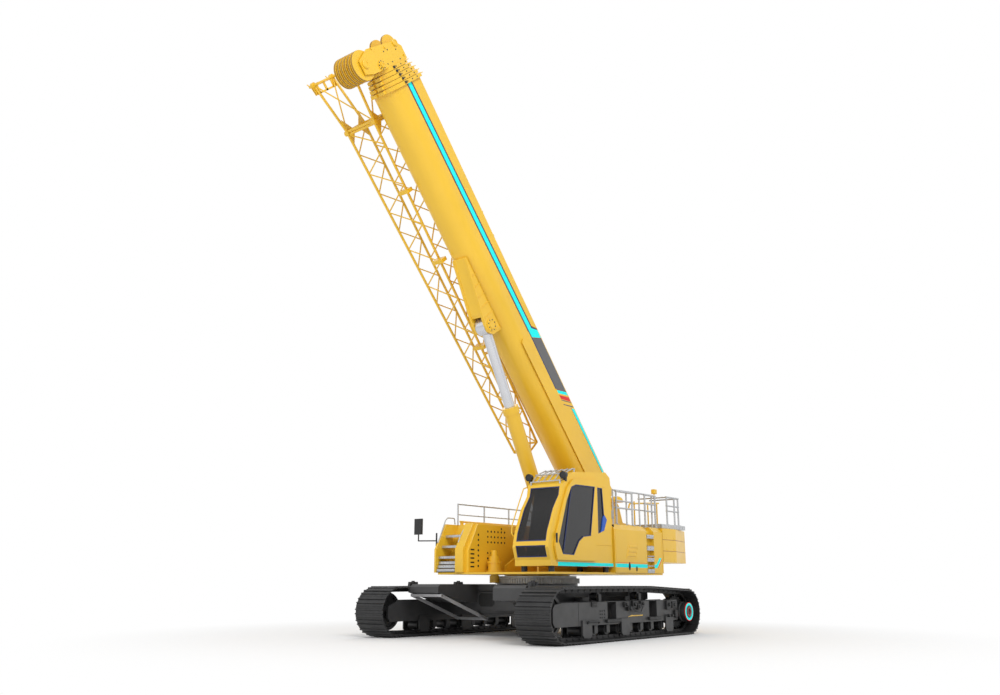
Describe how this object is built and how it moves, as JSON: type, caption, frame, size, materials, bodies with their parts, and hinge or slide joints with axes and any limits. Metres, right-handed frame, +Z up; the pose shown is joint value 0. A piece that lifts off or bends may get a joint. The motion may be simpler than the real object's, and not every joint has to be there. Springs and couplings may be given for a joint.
{
  "type": "crawler crane",
  "caption": "Tracked crane with a telescoping boom, luffing cylinder, slewing upper deck with cab, winches and counterweight, and a lattice jib stowed beside the boom.",
  "frame": {"origin": "on the ground under the slewing axis", "axes": "+X forward over the idlers with the boom, +Y the driver's left, +Z up"},
  "size_m": [10.4557, 4.76, 11.462],
  "materials": {
    "yellow": "gloss",
    "dark_grey": "satin",
    "track_steel": "matte",
    "light_grey": "satin",
    "chrome": "polished",
    "glass": "clear",
    "black": "matte",
    "seat": "matte",
    "steel": "brushed",
    "rubber": "matte",
    "weight_iron": "gloss"
  },
  "bodies": {
    "undercarriage": {"car_body": "dark_grey", "slewing_ring": "light_grey", "track_left": "track_steel", "track_right": "track_steel", "track_frame_left": "yellow", "track_frame_right": "yellow", "track_rollers": "dark_grey", "sprockets": "dark_grey", "final_drives": "yellow", "idlers": "dark_grey"},
    "superstructure": {"turntable": "yellow", "slew_drive": "yellow", "counterweight_bottom": "weight_iron", "counterweight_middle": "weight_iron", "counterweight_top": "weight_iron", "left_housing": "yellow", "right_housing": "yellow", "engine_block": "dark_grey", "steps": "light_grey", "handrails": "steel", "mirror": "black", "cab_shell": "yellow", "cab_seat": "seat", "cab_mounts": "rubber"},
    "cab_door": {"cab_door": "yellow", "door_glass": "glass"},
    "main_winch": {"main_winch": "dark_grey"},
    "aux_winch": {"aux_winch": "dark_grey"},
    "boom_base": {"boom_section_1": "yellow", "ram_bracket": "yellow", "jib_lattice": "yellow", "jib_frame": "yellow", "jib_brackets": "yellow"},
    "boom_2": {"boom_section_2": "yellow"},
    "boom_3": {"boom_section_3": "yellow"},
    "boom_4": {"boom_section_4": "yellow"},
    "boom_5": {"boom_section_5": "yellow", "boom_head": "yellow", "head_sheaves": "yellow"},
    "ram_rod": {"ram_rod": "chrome"},
    "ram_barrel": {"ram_barrel": "yellow"}
  },
  "joints": [
    {"name": "slew", "type": "hinge", "parent": "undercarriage", "child": "superstructure", "pos_m": [0, 0, 1.2], "axis": [0, 0, 1], "continuous": true},
    {"name": "boom_luff", "type": "hinge", "parent": "superstructure", "child": "boom_base", "pos_m": [-2.366, 0, 2.712], "axis": [0, -1, 0], "range_deg": [-48, 32]},
    {"name": "telescope_2", "type": "slide", "parent": "boom_base", "child": "boom_2", "axis": [0.6691, 0, 0.7431], "range_m": [0, 7.9]},
    {"name": "telescope_3", "type": "slide", "parent": "boom_2", "child": "boom_3", "axis": [0.6691, 0, 0.7431], "range_m": [0, 7.9]},
    {"name": "telescope_4", "type": "slide", "parent": "boom_3", "child": "boom_4", "axis": [0.6691, 0, 0.7431], "range_m": [0, 7.9]},
    {"name": "telescope_5", "type": "slide", "parent": "boom_4", "child": "boom_5", "axis": [0.6691, 0, 0.7431], "range_m": [0, 7.9]},
    {"name": "ram_eye", "type": "hinge", "parent": "boom_base", "child": "ram_rod", "pos_m": [1.78089, 0, 6.27145], "axis": [0, -1, 0], "range_deg": [-5.76, 3.84]},
    {"name": "ram_stroke", "type": "slide", "parent": "ram_rod", "child": "ram_barrel", "axis": [-0.4706, 0, -0.8824], "range_m": [-1.50806, 1.00541]},
    {"name": "cab_door_slide", "type": "slide", "parent": "superstructure", "child": "cab_door", "axis": [-1, 0, 0], "range_m": [0, 0.68]},
    {"name": "main_winch_turn", "type": "hinge", "parent": "superstructure", "child": "main_winch", "pos_m": [-3.05, 0, 2.11], "axis": [0, 1, 0], "continuous": true},
    {"name": "aux_winch_turn", "type": "hinge", "parent": "superstructure", "child": "aux_winch", "pos_m": [-3.61, 0, 2.11], "axis": [0, 1, 0], "continuous": true}
  ],
  "couplings": [
    {"joint": "telescope_3", "follows": "telescope_2", "ratio": 1},
    {"joint": "telescope_4", "follows": "telescope_2", "ratio": 1},
    {"joint": "telescope_5", "follows": "telescope_2", "ratio": 1},
    {"joint": "ram_eye", "follows": "boom_luff", "ratio": 0.12},
    {"joint": "ram_stroke", "follows": "boom_luff", "m_per_rad": 1.8}
  ]
}
